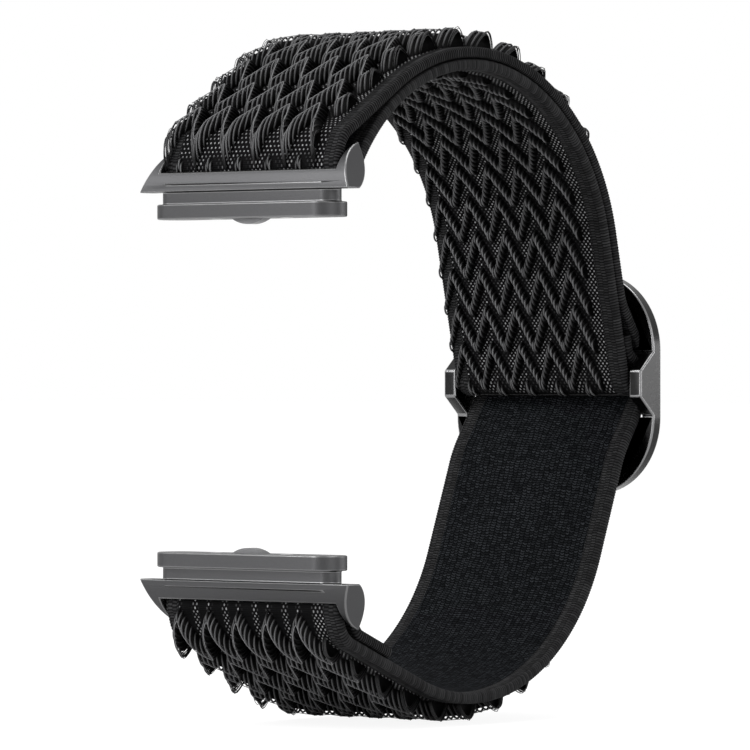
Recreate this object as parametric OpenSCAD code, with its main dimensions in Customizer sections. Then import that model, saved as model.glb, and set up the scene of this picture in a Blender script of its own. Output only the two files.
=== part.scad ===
// Elastic woven watch strap with a sliding buckle and two quick-fit lugs.
// X runs across the strap, Y from the watch face towards the wrist, Z up to twelve o'clock.
// The origin is the middle of the seat that the watch case fills between the two lugs.
// One length of webbing makes the whole loop. Its route is a belt drawn round a few circles.

/* [Webbing] */
// Width of the webbing
web_w = 24; // [20:0.5:26]
// Thickness of the base cloth
web_t = 1.2; // [1:0.1:1.4]
// Air left between two layers that lie on each other
layer_gap = 0.1; // [0.06:0.02:0.2]
// Outer radius of the loop over the top of the wrist
crown_r = 24.8; // [24:0.2:27]
// Direction from the middle of the top arc to the top lug
crown_lean = 151; // [148:1:153]
// How much smaller the outer radius of the loop is below the wrist than above it
sole_less = 1.3; // [0.8:0.1:2]
// How far the back of the lower arc lies in front of the slider bar
sole_ahead = 4.5; // [4:0.1:5]
// Middle of the lower arc, below the origin
sole_drop = 10.4; // [9.5:0.1:11.5]
// Length of the flat sewn end behind the slider bar
bar_tail = 1.4; // [1:0.1:1.6]
// Length of the flat sewn end behind the lower lug
lug_tail = 5; // [4:0.5:7]

/* [Waves] */
// How far a wave stands up from a single layer of cloth
wave_tall = 1.8; // [1.4:0.1:2]
// How far a wave stands up inside the wrist and beside the slider
wave_low = 0.8; // [0.5:0.1:1]
// Width of one zigzag of a wave
wave_w = 4.16; // [3.8:0.04:4.2]
// Plain strip to the left of the waves
wave_edge = 0.1; // [0.05:0.05:0.3]
// Least width of the plain strip to their right
plain_strip = 2.9; // [2.5:0.1:4]
// How far a wave swings to either side of its middle line
wave_swing = 2; // [1.6:0.1:2.1]
// Half the thickness of a wave where it leaves the cloth
wave_foot = 1.15; // [0.9:0.05:1.2]
// Half the thickness of a wave at its crest
wave_crest = 0.35; // [0.2:0.05:0.5]
// Distance between waves on the inner layer
inner_pitch = 4.2; // [4.1:0.1:5]
// Distance between waves on the outer layer
outer_pitch = 4.6; // [4.3:0.1:5]

/* [Slider] */
// Distance of the slider bar behind the back of the upper arc
bar_behind = 2.66; // [2.4:0.02:3.2]
// Height of the slider bar above the origin
bar_z = 1; // [0:0.1:2]
// Diameter of the slider bar
bar_d = 1.8; // [1.4:0.1:2]
// Gap between the webbing and the side rails
rail_gap = 0.3; // [0.3:0.05:0.5]
// Width of a side rail
rail_w = 1.65; // [1.4:0.05:2]
// Height of the slider frame
slider_h = 24.4; // [23:0.2:27]
// Corner radius of the slider frame
slider_r = 8.5; // [6:0.5:9.5]
// Width of the top and bottom bars of the frame
end_bar_w = 2.1; // [1.6:0.1:2.4]
// Thickness of the frame
frame_t = 1.4; // [1.2:0.1:1.8]
// How far the rail bosses rise towards the wrist
boss_h = 2.3; // [2.1:0.1:2.4]
// Height of the flat face of a boss
boss_flat = 2.9; // [2.4:0.1:3.4]
// Height of a boss where it meets the rail
boss_base = 7; // [6:0.2:8]
// How far the frame lies behind the middle of the bar
frame_depth = 0.6; // [0.5:0.1:0.9]
// How far the bar sits above the middle of the frame
bar_off = 0.8; // [0.4:0.1:0.9]

/* [Lugs] */
// Height of a lug pin above the origin
pin_z = 23.2; // [22.8:0.1:24]
// Distance of a lug pin behind the origin
pin_y = 4.4; // [4.1:0.1:4.8]
// Diameter of the spring bar inside the fold
pin_d = 1.6; // [1.4:0.1:1.8]
// Diameter of the spring bar tips
tip_d = 1; // [0.8:0.1:1.1]
// Depth of a tip in its ear
tip_seat = 0.6; // [0.5:0.1:0.7]
// Slack between the fold and the lug
fold_gap = 0.3; // [0.25:0.05:0.4]
// Gap between the webbing and an ear
ear_gap = 0.25; // [0.2:0.05:0.4]
// Thickness of an ear at the height of the pin
ear_t = 1.1; // [1:0.1:1.6]
// How much an ear thickens for each mm down its outer flank
flank_slope = 0.45; // [0.35:0.05:0.5]
// Length of the leaf shape of an ear, from point to point
ear_h = 7; // [6.8:0.1:7.4]
// How far the front of the leaf bulges from the line through its points
ear_front = 1.15; // [1.1:0.05:1.3]
// How far its back bulges from that line
ear_back = 1.6; // [1.5:0.05:1.8]
// How far the middle of an ear lies in front of the pin
leaf_ahead = 1.15; // [1.05:0.05:1.3]
// Height of the middle of an ear
leaf_z = 22.7; // [22.5:0.1:22.9]
// Lean of an ear towards the wrist
leaf_tilt = 38; // [34:1:40]
// Height of the front lip below the webbing
lip_z = 22.6; // [22:0.1:22.8]
// How far the slide rail lies in front of the pin
rail_ahead = 1.8; // [1.6:0.1:2]
// Height of the lug foot, where it meets the case
foot_z = 20.5; // [20.2:0.1:20.8]
// Depth of the neck of the slide rail
neck_w = 2.8; // [2.6:0.1:3.2]
// Height of the neck of the slide rail
neck_h = 1.3; // [1:0.1:1.6]
// Depth of the head of the slide rail
head_w = 4.6; // [4.2:0.1:5]
// Height of the head of the slide rail
head_h = 1.6; // [1.4:0.1:1.8]
// Length of the slide rail
head_l = 25; // [23:0.5:26]

/* [Catch] */
// Length of the catch flange
catch_l = 6; // [5:0.25:7]
// Depth of the catch flange
catch_w = 1.9; // [1.7:0.1:2.1]
// Thickness of the catch flange
catch_t = 0.5; // [0.4:0.05:0.6]
// How far the catch nose stands out of the rail
catch_out = 0.6; // [0.4:0.1:0.8]
// Thickness of the cover under the catch
cover_t = 0.5; // [0.4:0.05:0.6]
// Length of the cover
cover_l = 13; // [12:0.5:14]
// Distance of a cover screw from the middle
screw_x = 4.9; // [4.6:0.1:5.2]
// Diameter of a cover screw
screw_d = 0.8; // [0.7:0.05:0.9]
// Length of a cover screw
screw_l = 2.2; // [1.8:0.1:2.4]
// Travel of the catch when it is pressed
catch_travel = 0.6; // [0.4:0.1:0.7]
// Running clearance of the tips in their bores
fit = 0.05; // [0.03:0.01:0.06]

/* [Hidden] */

cloth = "#1b1b1c";
thread = "#2a2a2b";
buckle_metal = "#303032";
lug_metal = "#5c5c5e";
steel = "#b8b8ba";
round_fn = 48;

half_t = web_t / 2;
pin_r = pin_d / 2;
bar_r = bar_d / 2;
tip_r = tip_d / 2;

// Radii of the middle of the cloth on each circle of the route
snug = 0.05;
pin_turn = pin_r + snug + half_t;
bar_turn = bar_r + snug + half_t;
over_turn = bar_r + snug + web_t + layer_gap + half_t;
sole_r = crown_r - sole_less;
outer_turn = crown_r - half_t;
inner_turn = crown_r - web_t - layer_gap - half_t;
sole_turn = sole_r - half_t;

// Middles of those circles, as [back, up]
top_pin = [pin_y, pin_z];
low_pin = [pin_y, -pin_z];
crown_reach = inner_turn + pin_turn + snug;
crown_at = top_pin - crown_reach * [cos(crown_lean), sin(crown_lean)];
bar_y = crown_at[0] + crown_r + bar_behind;
bar_at = [bar_y, bar_z];
sole_at = [bar_y - sole_ahead - sole_r, -sole_drop];

// The stiff cloth bulges a little where it leaves a lug
shoulder_r = 3.6;
shoulder_turn = shoulder_r - half_t;
shoulder_back = 1.9;
shoulder_up = 0.9;
top_shoulder = top_pin + [shoulder_back, shoulder_up];
low_shoulder = low_pin + [shoulder_back, -shoulder_up];

// It bends outwards above and below the slider bar
upper_bend_r = 6;
upper_bend_up = 9.5;
lower_bend_r = 12;
lower_bend_lean = -21;
lower_bend_up = 10.5;
lower_bend = sole_at
    + (sole_turn + lower_bend_r) * [cos(lower_bend_lean), sin(lower_bend_lean)]
    + lower_bend_up * [-sin(lower_bend_lean), cos(lower_bend_lean)];

// The sewn ends close up to the cloth that they lie on
pinch_r = 1.6;
pinch_slack = 0.1;
fold_side = web_t + layer_gap;

// A circle of the route is [middle, radius, turn], with turn 1 to the left and -1 to the right.
function angle_of(v) = atan2(v[1], v[0]);
function unit(a) = [cos(a), sin(a)];
// Heading of the straight stretch from one circle to the next
function heading(a, b) =
    let (d = b[0] - a[0])
    angle_of(d) + acos((b[2] * b[1] - a[2] * a[1]) / norm(d)) - 90;
// Where a heading touches a circle
function touch(c, h) = c[0] - c[2] * c[1] * unit(h + 90);
// Turn from one heading to the next on a circle, never past a full turn
function swept(c, h0, h1) =
    let (t = c[2] * (h1 - h0) + 0.001, whole = t - 360 * floor(t / 360))
    c[2] * (whole - 0.001);
// Stretches of a route as [start, heading, length, turn per mm]
function stretches(route) = [
    for (i = [0:len(route) - 2])
        let (
            a = route[i], b = route[i + 1], h = heading(a, b),
            h_in = i == 0 ? h : heading(route[i - 1], a),
            t = swept(a, h_in, h)
        )
        each [
            if (abs(t) > 0.01 && a[1] > 0)
                [touch(a, h_in), h_in, abs(t) * PI / 180 * a[1], a[2] / a[1]],
            [touch(a, h), h, norm(touch(b, h) - touch(a, h)), 0]
        ]
];
function ends(list, i = 0, sum = 0) =
    i >= len(list) ? [sum] : concat([sum], ends(list, i + 1, sum + list[i][2]));
// Point and heading at a distance along a stretch
function along(piece, d) =
    let (k = piece[3], h = piece[1] + k * d * 180 / PI)
    k == 0 ? [piece[0] + d * unit(piece[1]), h]
           : [piece[0] + [sin(h) - sin(piece[1]), cos(piece[1]) - cos(h)] / k, h];

// The end sewn behind the bar lies on the outer side of the inner run
bar_loop = [bar_at, bar_turn, -1];
inner_crown = [crown_at, inner_turn, 1];
bar_head = heading(bar_loop, inner_crown);
bar_up = unit(bar_head);
bar_side = -unit(bar_head + 90);
bar_pinch = touch(bar_loop, bar_head) + (bar_turn + pinch_r + pinch_slack) * bar_up
    + (fold_side + pinch_r) * bar_side;
bar_tail_end = bar_pinch - pinch_r * bar_side + bar_tail * bar_up;
upper_bend = touch(bar_loop, bar_head) + upper_bend_up * bar_up
    + (fold_side + upper_bend_r) * bar_side;

// The end sewn at the lower lug lies on the wrist side of the lower run
low_loop = [low_pin, pin_turn, -1];
low_bulge = [low_shoulder, shoulder_turn, -1];
low_sole = [sole_at, sole_turn, -1];
low_head = heading(low_sole, low_bulge);
low_back = -unit(low_head);
low_side = -unit(low_head + 90);
low_touch = touch(low_bulge, low_head);
low_foot = low_touch + ((low_pin - low_touch) * low_back) * low_back;
low_pinch = low_foot + (pin_turn + pinch_r + pinch_slack) * low_back
    + (fold_side + pinch_r) * low_side;
low_tail_end = low_pinch - pinch_r * low_side + lug_tail * low_back;

route = [
    [bar_tail_end, 0, 1],
    [bar_pinch, pinch_r, 1],
    bar_loop,
    inner_crown,
    [top_pin, pin_turn, -1],
    [top_shoulder, shoulder_turn, -1],
    [crown_at, outer_turn, -1],
    [upper_bend, upper_bend_r, 1],
    [bar_at, over_turn, -1],
    [lower_bend, lower_bend_r, 1],
    low_sole,
    low_bulge,
    low_loop,
    [low_pinch, pinch_r, 1],
    [low_tail_end, 0, 1]
];
web = stretches(route);
web_ends = ends(web);
web_len = web_ends[len(web)];

function at(s, i = 0) =
    (i == len(web) - 1 || s < web_ends[i + 1]) ? along(web[i], s - web_ends[i]) : at(s, i + 1);
// Point beside the route, with out above 0 on the side of the raised waves
function beside(s, out) = let (p = at(s)) p[0] + out * unit(p[1] + 90);

// Numbers of the stretches that a piece of webbing starts or ends on
on_inner = 4;
on_crown_in = 5;
on_top_pin = 7;
on_crown_out = 11;
on_over_bar = 15;
on_low_line = 16;
on_sole = 19;
on_low_pin = 23;
sewn_gap = 0.6;
tail_len = web_ends[on_inner] + bar_turn + pinch_r + bar_tail + sewn_gap;

// Distances along the webbing where one named piece meets the next
cut_fold = tail_len;
inner_past = 1.7;
outer_short = 1.6;
pin_past = 0.5;
over_lead = 6;
over_past = 4;
sole_past = 1;
cut_inner = web_ends[on_crown_in] + inner_past;
cut_top_in = web_ends[on_top_pin] - pin_past;
cut_top_out = web_ends[on_top_pin + 1] + pin_past;
cut_outer = web_ends[on_crown_out + 1] - outer_short;
cut_bulge = web_ends[on_over_bar] - over_lead;
cut_over = web_ends[on_low_line] + over_past;
cut_back = web_ends[on_sole] + sole_past;
cut_low = web_ends[on_low_pin] - pin_past;

// Distances at which the outline of a piece of webbing has points
arc_step = 4;
function marks(s0, s1) = concat(
    [s0],
    [
        for (i = [0:len(web) - 1])
            let (n = ceil(abs(web[i][3] * web[i][2]) * 180 / PI / arc_step))
            for (j = [0:max(n - 1, 0)])
                let (s = web_ends[i] + web[i][2] * j / max(n, 1))
                if (s > s0 + 0.05 && s < s1 - 0.05) s
    ],
    [s1]
);

// Draws a side view, with Y to the right and Z up, as a solid of a width across the strap
module across(w) { rotate([90, 0, 90]) linear_extrude(w, center = true) children(); }
// The same for a view from the front, as a solid from one depth to another
module deep(y0, y1) { translate([0, y1, 0]) rotate([90, 0, 0]) linear_extrude(y1 - y0) children(); }

// A length of cloth between two distances out from its middle
module layer(s0, s1, low, high) {
    m = marks(s0, s1);
    across(web_w)
        polygon(concat(
            [for (s = m) beside(s, high)],
            [for (i = [len(m) - 1:-1:0]) beside(m[i], low)]
        ));
}

// Distances of the middle lines of the waves. None lies on a fold round a pin.
inner_lead = 3.5;
outer_lead = 3.2;
fold_clear = 4.5;
waves = concat(
    [for (s = [cut_fold - inner_lead:inner_pitch:cut_top_in - fold_clear]) s],
    [for (s = [cut_top_out + outer_lead:outer_pitch:cut_low - fold_clear]) s]
);
wave_n = floor((web_w - plain_strip) / wave_w);
wave_left = wave_edge - web_w / 2;
wave_sink = 0.2;
wave_room = 1;
wave_reach = wave_swing + wave_foot;
function wave_high(s) =
    s < cut_top_in || (s > cut_outer && s < cut_back) ? wave_low : wave_tall;

// Sharpest bend of the route within the reach of a wave
function bend(s, i = 0) =
    (i == len(web) - 1 || s < web_ends[i + 1]) ? abs(web[i][3]) : bend(s, i + 1);
function sharpest(s) = max([for (d = [-wave_reach:wave_reach / 4:wave_reach]) bend(s + d)]);
tight_bend = 0.1;
tight_parts = 4;

// A zigzag ridge of loops across the band, its feet sunk into the cloth
module wave(s) {
    parts = sharpest(s) > tight_bend ? tight_parts : 1;
    top = half_t + wave_high(s);
    foot = half_t - wave_sink;
    section = [[-wave_foot, foot], [-wave_crest, top], [wave_crest, top], [wave_foot, foot]];
    steps = 2 * wave_n * parts;
    points = [
        for (i = [0:steps], c = section)
            let (
                leg = i / parts,
                lead = wave_swing * (1 - 2 * abs(leg % 2 - 1)),
                p = beside(s + lead + c[0], c[1])
            )
            [wave_left + leg * wave_w / 2, p[0], p[1]]
    ];
    sides = [
        for (i = [0:steps - 1], j = [0:3])
            let (a = 4 * i + j, b = 4 * i + (j + 1) % 4)
            each [[a, b, b + 4], [a, b + 4, a + 4]]
    ];
    polyhedron(points, concat(sides, [[3, 2, 1, 0], [for (j = [0:3]) 4 * steps + j]]));
}

module cloth_piece(s0, s1) {
    color(cloth) union() {
        layer(s0, s1, -half_t, half_t);
        for (s = waves) {
            if (s - wave_reach >= s0 && s + wave_reach <= s1)
                wave(s);
            else if (s + wave_reach > s0 && s - wave_reach < s1)
                intersection() {
                    wave(s);
                    layer(s0, s1, 0, half_t + wave_tall + wave_room);
                }
        }
    }
}

module webbing_bar_fold() { cloth_piece(0, cut_fold); }
module webbing_inner_lower() { cloth_piece(cut_fold, cut_inner); }
module webbing_inner_upper() { cloth_piece(cut_inner, cut_top_in); }
module webbing_top_fold() { cloth_piece(cut_top_in, cut_top_out); }
module webbing_outer_upper() { cloth_piece(cut_top_out, cut_outer); }
module webbing_outer_lower() { cloth_piece(cut_outer, cut_bulge); }
module webbing_over_bar() { cloth_piece(cut_bulge, cut_over); }
module webbing_lower_back() { cloth_piece(cut_over, cut_back); }
module webbing_lower_front() { cloth_piece(cut_back, cut_low); }
module webbing_bottom_fold() { cloth_piece(cut_low, web_len); }

// A row of thread stitches across the strap at a distance along it, out from its middle
stitch_l = 1.6;
stitch_pitch = 2.2;
stitch_edge = 1;
thread_r = 0.15;
module stitch_row(s, out) {
    p = beside(s, out);
    n = floor((web_w - 2 * stitch_edge) / stitch_pitch);
    color(thread)
        for (i = [0:n - 1])
            translate([(i - (n - 1) / 2) * stitch_pitch, p[0], p[1]])
                rotate([0, 90, 0]) cylinder(h = stitch_l, r = thread_r, center = true, $fn = 16);
}
// On the wrist side the stitches of the bar fold sink in among the waves
bar_row = 0.6;
tail_row = 1.5;
tail_edge = 1;
module bar_fold_stitching() {
    for (row = [1, 2])
        stitch_row(row * bar_row, half_t + thread_r);
}
module bottom_fold_stitching() {
    for (row = [0:2])
        stitch_row(web_len - tail_edge - row * tail_row, half_t + thread_r);
}

// Buckle: a flat frame with rounded corners, a boss inside each rail and a round bar between them
slot_w = web_w + 2 * rail_gap;
frame_w = slot_w + 2 * rail_w;
frame_front = bar_y + frame_depth;
frame_back = frame_front + frame_t;
// The slots have tighter corners than the frame, to clear the edges of the webbing
corner_ease = 1.35;
module rounded(w, h, r) {
    square([w, h - 2 * r], center = true);
    square([w - 2 * r, h], center = true);
    for (x = [-1, 1], y = [-1, 1])
        translate([x * (w / 2 - r), y * (h / 2 - r)]) circle(r, $fn = 96);
}
module slider_frame() {
    color(buckle_metal) {
        deep(frame_front, frame_back)
            translate([0, bar_z - bar_off])
                difference() {
                    rounded(frame_w, slider_h, slider_r);
                    rounded(slot_w, slider_h - 2 * end_bar_w, slider_r - rail_w - corner_ease);
                }
        for (side = [-1, 1])
            translate([side * (slot_w + rail_w) / 2, 0, bar_z - bar_off])
                across(rail_w)
                    polygon([
                        [frame_front, -boss_base / 2], [frame_front - boss_h, -boss_flat / 2],
                        [frame_front - boss_h, boss_flat / 2], [frame_front, boss_base / 2]
                    ]);
        translate([0, bar_y, bar_z])
            rotate([0, 90, 0]) cylinder(h = slot_w + 0.2, r = bar_r, center = true, $fn = round_fn);
    }
}

// Lug, drawn at the top; the lower one is its mirror image
ear_in = web_w / 2 + ear_gap;
channel_r = pin_r + snug + web_t + fold_gap;
head_z = foot_z - neck_h - head_h;
rail_y = pin_y - rail_ahead;
bore_r = tip_r + fit;
// Radius of an arc from its length, point to point, and how far it bulges
function arc_r(length, bulge) = (pow(length / 2, 2) + pow(bulge, 2)) / (2 * bulge);
module leaf() {
    front_r = arc_r(ear_h, ear_front);
    back_r = arc_r(ear_h, ear_back);
    translate([pin_y - leaf_ahead, leaf_z]) rotate(-leaf_tilt)
        intersection() {
            translate([front_r - ear_front, 0]) circle(front_r, $fn = 120);
            translate([ear_back - back_r, 0]) circle(back_r, $fn = 120);
        }
}
module flanks() {
    function half_w(z) = ear_in + ear_t + flank_slope * (pin_z - z);
    z0 = foot_z;
    z1 = pin_z + 3.5;
    polygon([[-half_w(z0), z0], [half_w(z0), z0], [half_w(z1), z1], [-half_w(z1), z1]]);
}
module upper_lug() {
    difference() {
        union() {
            intersection() {
                across(3 * web_w) leaf();
                deep(-web_w, web_w) flanks();
            }
            translate([0, rail_y, foot_z]) rounded_rail(head_l - 1, neck_w, neck_h, 0.8);
            translate([0, rail_y, foot_z - neck_h]) rounded_rail(head_l, head_w, head_h, 0);
        }
        across(2 * ear_in) {
            translate(top_pin) circle(channel_r, $fn = 96);
            translate([pin_y - 2 * channel_r, lip_z]) square([4 * channel_r, 3 * channel_r]);
        }
        translate([0, pin_y, pin_z]) rotate([0, 90, 0])
            cylinder(h = 2 * (ear_in + tip_seat + fit), r = bore_r, center = true, $fn = round_fn);
        catch_pocket();
    }
}
// A stretch of the slide rail below the origin with round ends, running on upwards by up
module rounded_rail(l, w, h, up) {
    translate([0, 0, -h]) linear_extrude(h + up) {
        square([l - w, w], center = true);
        for (x = [-1, 1]) translate([x * (l - w) / 2, 0]) circle(w / 2, $fn = round_fn);
    }
}

// Spring bar inside the fold of the webbing
tube_l = web_w - 0.4;
tip_end = ear_in + tip_seat;
tip_l = 3.2;
spring_gap = tip_seat + 0.05;
module bar_tube() {
    translate([0, pin_y, pin_z]) rotate([0, 90, 0])
        difference() {
            cylinder(h = tube_l, r = pin_r, center = true, $fn = round_fn);
            cylinder(h = tube_l + 1, r = bore_r, center = true, $fn = round_fn);
        }
}
module bar_spring() {
    translate([0, pin_y, pin_z]) rotate([0, 90, 0])
        difference() {
            cylinder(h = 2 * (tip_end - tip_l - spring_gap), r = tip_r - fit, center = true, $fn = 32);
            cylinder(h = tube_l, r = tip_r / 2, center = true, $fn = 32);
        }
}
module bar_tip(side) {
    translate([side * (tip_end - tip_l / 2), pin_y, pin_z]) rotate([0, 90, 0])
        cylinder(h = tip_l, r = tip_r, center = true, $fn = round_fn);
}

// Catch in the rail: a sprung nose behind a screwed cover
pocket_l = catch_l + 0.2;
pocket_w = catch_w + 0.2;
cover_w = catch_w + 1.1;
nose_l = catch_l - 1.6;
nose_w = catch_w - 0.7;
spring_r = 0.7;
spring_h = catch_travel + 1;
catch_base = head_z + cover_t;
pocket_top = catch_base + catch_t + spring_h;
head_r = screw_d / 2 + 0.3;
head_t = 0.25;
module block(w, d, z0, z1) {
    translate([0, rail_y, (z0 + z1) / 2]) cube([w, d, z1 - z0], center = true);
}
module screw_axes() {
    for (side = [-1, 1]) translate([side * screw_x, rail_y, head_z]) children();
}
module catch_pocket() {
    block(pocket_l, pocket_w, catch_base - 0.1, pocket_top);
    block(cover_l, cover_w, head_z - 1, catch_base);
    screw_axes() cylinder(h = screw_l, r = screw_d / 2 + 0.02, $fn = 32);
}
module catch_body() {
    block(catch_l, catch_w, catch_base, catch_base + catch_t);
    intersection() {
        block(nose_l, nose_w, head_z - catch_out, catch_base + 0.1);
        translate([0, rail_y, head_z - catch_out + nose_l]) rotate([90, 0, 0])
            cylinder(h = nose_w + 1, r = nose_l, center = true, $fn = 96);
    }
}
module catch_cover() {
    difference() {
        block(cover_l - 0.1, cover_w - 0.1, head_z, catch_base);
        block(nose_l + 0.2, nose_w + 0.2, head_z - 1, catch_base + 1);
        screw_axes() {
            translate([0, 0, -1]) cylinder(h = 3, r = screw_d / 2 + 0.02, $fn = 32);
            translate([0, 0, -1]) cylinder(h = 1 + head_t, r = head_r + 0.02, $fn = 32);
        }
    }
}
module cover_screw_pair() {
    screw_axes() {
        cylinder(h = head_t, r = head_r, $fn = 32);
        cylinder(h = screw_l - 0.1, r = screw_d / 2, $fn = 32);
    }
}
module catch_spring() {
    translate([0, rail_y, catch_base + catch_t])
        difference() {
            cylinder(h = spring_h, r = spring_r, $fn = 32);
            translate([0, 0, -1]) cylinder(h = spring_h + 2, r = spring_r - 0.2, $fn = 32);
        }
}

module lower() { mirror([0, 0, 1]) children(); }

module top_lug() { color(lug_metal) upper_lug(); }
module top_bar_tube() { color(steel) bar_tube(); }
module top_bar_spring() { color(steel) bar_spring(); }
module top_bar_tip_left() { color(steel) bar_tip(-1); }
module top_bar_tip_right() { color(steel) bar_tip(1); }
module top_catch() { color(steel) catch_body(); }
module top_catch_spring() { color(steel) catch_spring(); }
module top_catch_cover() { color(lug_metal) catch_cover(); }
module top_cover_screws() { color(steel) cover_screw_pair(); }
module bottom_lug() { color(lug_metal) lower() upper_lug(); }
module bottom_bar_tube() { color(steel) lower() bar_tube(); }
module bottom_bar_spring() { color(steel) lower() bar_spring(); }
module bottom_bar_tip_left() { color(steel) lower() bar_tip(-1); }
module bottom_bar_tip_right() { color(steel) lower() bar_tip(1); }
module bottom_catch() { color(steel) lower() catch_body(); }
module bottom_catch_spring() { color(steel) lower() catch_spring(); }
module bottom_catch_cover() { color(lug_metal) lower() catch_cover(); }
module bottom_cover_screws() { color(steel) lower() cover_screw_pair(); }

slider_frame();
webbing_bar_fold();
webbing_inner_lower();
webbing_inner_upper();
webbing_top_fold();
webbing_outer_upper();
webbing_outer_lower();
webbing_over_bar();
webbing_lower_back();
webbing_lower_front();
webbing_bottom_fold();
bar_fold_stitching();
bottom_fold_stitching();
top_lug();
top_bar_tube();
top_bar_spring();
top_bar_tip_left();
top_bar_tip_right();
top_catch();
top_catch_spring();
top_catch_cover();
top_cover_screws();
bottom_lug();
bottom_bar_tube();
bottom_bar_spring();
bottom_bar_tip_left();
bottom_bar_tip_right();
bottom_catch();
bottom_catch_spring();
bottom_catch_cover();
bottom_cover_screws();
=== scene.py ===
import math

import bmesh
import bpy
import numpy as np
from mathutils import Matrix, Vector


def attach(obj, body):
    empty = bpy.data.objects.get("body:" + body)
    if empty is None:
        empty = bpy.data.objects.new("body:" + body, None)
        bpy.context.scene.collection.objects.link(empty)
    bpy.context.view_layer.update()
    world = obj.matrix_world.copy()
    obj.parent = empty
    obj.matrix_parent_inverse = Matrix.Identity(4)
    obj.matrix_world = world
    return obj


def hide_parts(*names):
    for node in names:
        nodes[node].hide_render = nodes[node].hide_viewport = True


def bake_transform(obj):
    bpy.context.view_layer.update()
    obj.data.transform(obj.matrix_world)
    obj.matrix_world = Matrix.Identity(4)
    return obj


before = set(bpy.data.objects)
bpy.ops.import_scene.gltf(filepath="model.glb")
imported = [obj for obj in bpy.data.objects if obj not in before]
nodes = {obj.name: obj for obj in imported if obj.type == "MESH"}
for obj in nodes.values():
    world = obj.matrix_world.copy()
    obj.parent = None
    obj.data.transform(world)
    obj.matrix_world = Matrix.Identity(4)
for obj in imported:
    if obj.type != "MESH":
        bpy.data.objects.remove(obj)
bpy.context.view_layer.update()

# Elastic webbing:
# One band of black elastic, 24 mm wide, knitted from nylon round rubber cores.
# Rows of floating yarns stand up from its face as zigzag waves, and its back is plain.
# It runs double between the slider and the upper lug, and single on to the lower one.
MM = 0.001
WEB_W = 24.0
WEB_T = 1.2
HALF_T = WEB_T / 2
LAYER_GAP = 0.1
SNUG = 0.05
PIN_AT = (4.4, 23.2)
PIN_TURN = 0.8 + SNUG + HALF_T
BAR_AT = (53.2, 1.0)
BAR_TURN = 0.9 + SNUG + HALF_T
OVER_TURN = BAR_TURN + WEB_T + LAYER_GAP
CROWN_TURN = 24.8 - HALF_T
CROWN_LEAN = 151.0
INNER_TURN = CROWN_TURN - WEB_T - LAYER_GAP
SOLE_AT = (25.2, -10.4)
SOLE_TURN = 23.5 - HALF_T
SHOULDER_TURN = 3.6 - HALF_T
UPPER_BEND = 6.0
LOWER_BEND = 12.0
UPPER_RUN = 9.5
LOWER_RUN = 10.5
LOWER_LEAN = -21
SHOULDER_Y, SHOULDER_Z = 1.9, 0.9
PINCH = 1.6
PINCH_GAP = 0.1
TAIL_AT_BAR, TAIL_AT_LUG = 1.4, 5.0
FOLD_SIDE = WEB_T + LAYER_GAP


def facing(degrees):
    """The direction (Y, Z) of a heading."""
    a = math.radians(degrees)
    return np.array([math.cos(a), math.sin(a)])


def heading(a, b):
    """Heading in degrees of the straight run of cloth from circle a to circle b."""
    gap = np.subtract(b[0], a[0])
    lean = (b[2] * b[1] - a[2] * a[1]) / np.hypot(*gap)
    return math.degrees(math.atan2(gap[1], gap[0]) + math.acos(lean)) - 90


def touch(circle, head):
    """Where a straight run with this heading touches a circle."""
    return np.array(circle[0]) - circle[2] * circle[1] * facing(head + 90)


# Circles that the middle of the cloth runs round, as (middle, radius, +1 left or -1 right)
top_pin = (np.array(PIN_AT), PIN_TURN, -1)
low_pin = (np.array([PIN_AT[0], -PIN_AT[1]]), PIN_TURN, -1)
crown_at = top_pin[0] - (INNER_TURN + PIN_TURN + SNUG) * facing(CROWN_LEAN)
bar_loop = (np.array(BAR_AT), BAR_TURN, -1)
inner_crown = (crown_at, INNER_TURN, 1)
bar_head = heading(bar_loop, inner_crown)
bar_up, bar_side = facing(bar_head), -facing(bar_head + 90)
bar_foot = touch(bar_loop, bar_head)
bar_pinch = bar_foot + (BAR_TURN + PINCH + PINCH_GAP) * bar_up + (FOLD_SIDE + PINCH) * bar_side
bar_tail = bar_pinch - PINCH * bar_side + TAIL_AT_BAR * bar_up
upper_bend = bar_foot + UPPER_RUN * bar_up + (FOLD_SIDE + UPPER_BEND) * bar_side
sole = (np.array(SOLE_AT), SOLE_TURN, -1)
lower_bend = sole[0] + (SOLE_TURN + LOWER_BEND) * facing(LOWER_LEAN)
lower_bend = lower_bend + LOWER_RUN * facing(LOWER_LEAN + 90)
low_bulge = (low_pin[0] + np.array([SHOULDER_Y, -SHOULDER_Z]), SHOULDER_TURN, -1)
low_head = heading(sole, low_bulge)
low_back, low_side = -facing(low_head), -facing(low_head + 90)
low_touch = touch(low_bulge, low_head)
low_foot = low_touch + np.dot(low_pin[0] - low_touch, low_back) * low_back
low_pinch = low_foot + (PIN_TURN + PINCH + PINCH_GAP) * low_back + (FOLD_SIDE + PINCH) * low_side
low_tail = low_pinch - PINCH * low_side + TAIL_AT_LUG * low_back
circles = [
    (bar_tail, 0, 1), (bar_pinch, PINCH, 1), bar_loop, inner_crown, top_pin,
    (top_pin[0] + np.array([SHOULDER_Y, SHOULDER_Z]), SHOULDER_TURN, -1), (crown_at, CROWN_TURN, -1),
    (upper_bend, UPPER_BEND, 1), (np.array(BAR_AT), OVER_TURN, -1),
    (lower_bend, LOWER_BEND, 1), sole, low_bulge, low_pin, (low_pinch, PINCH, 1), (low_tail, 0, 1),
]

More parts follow.
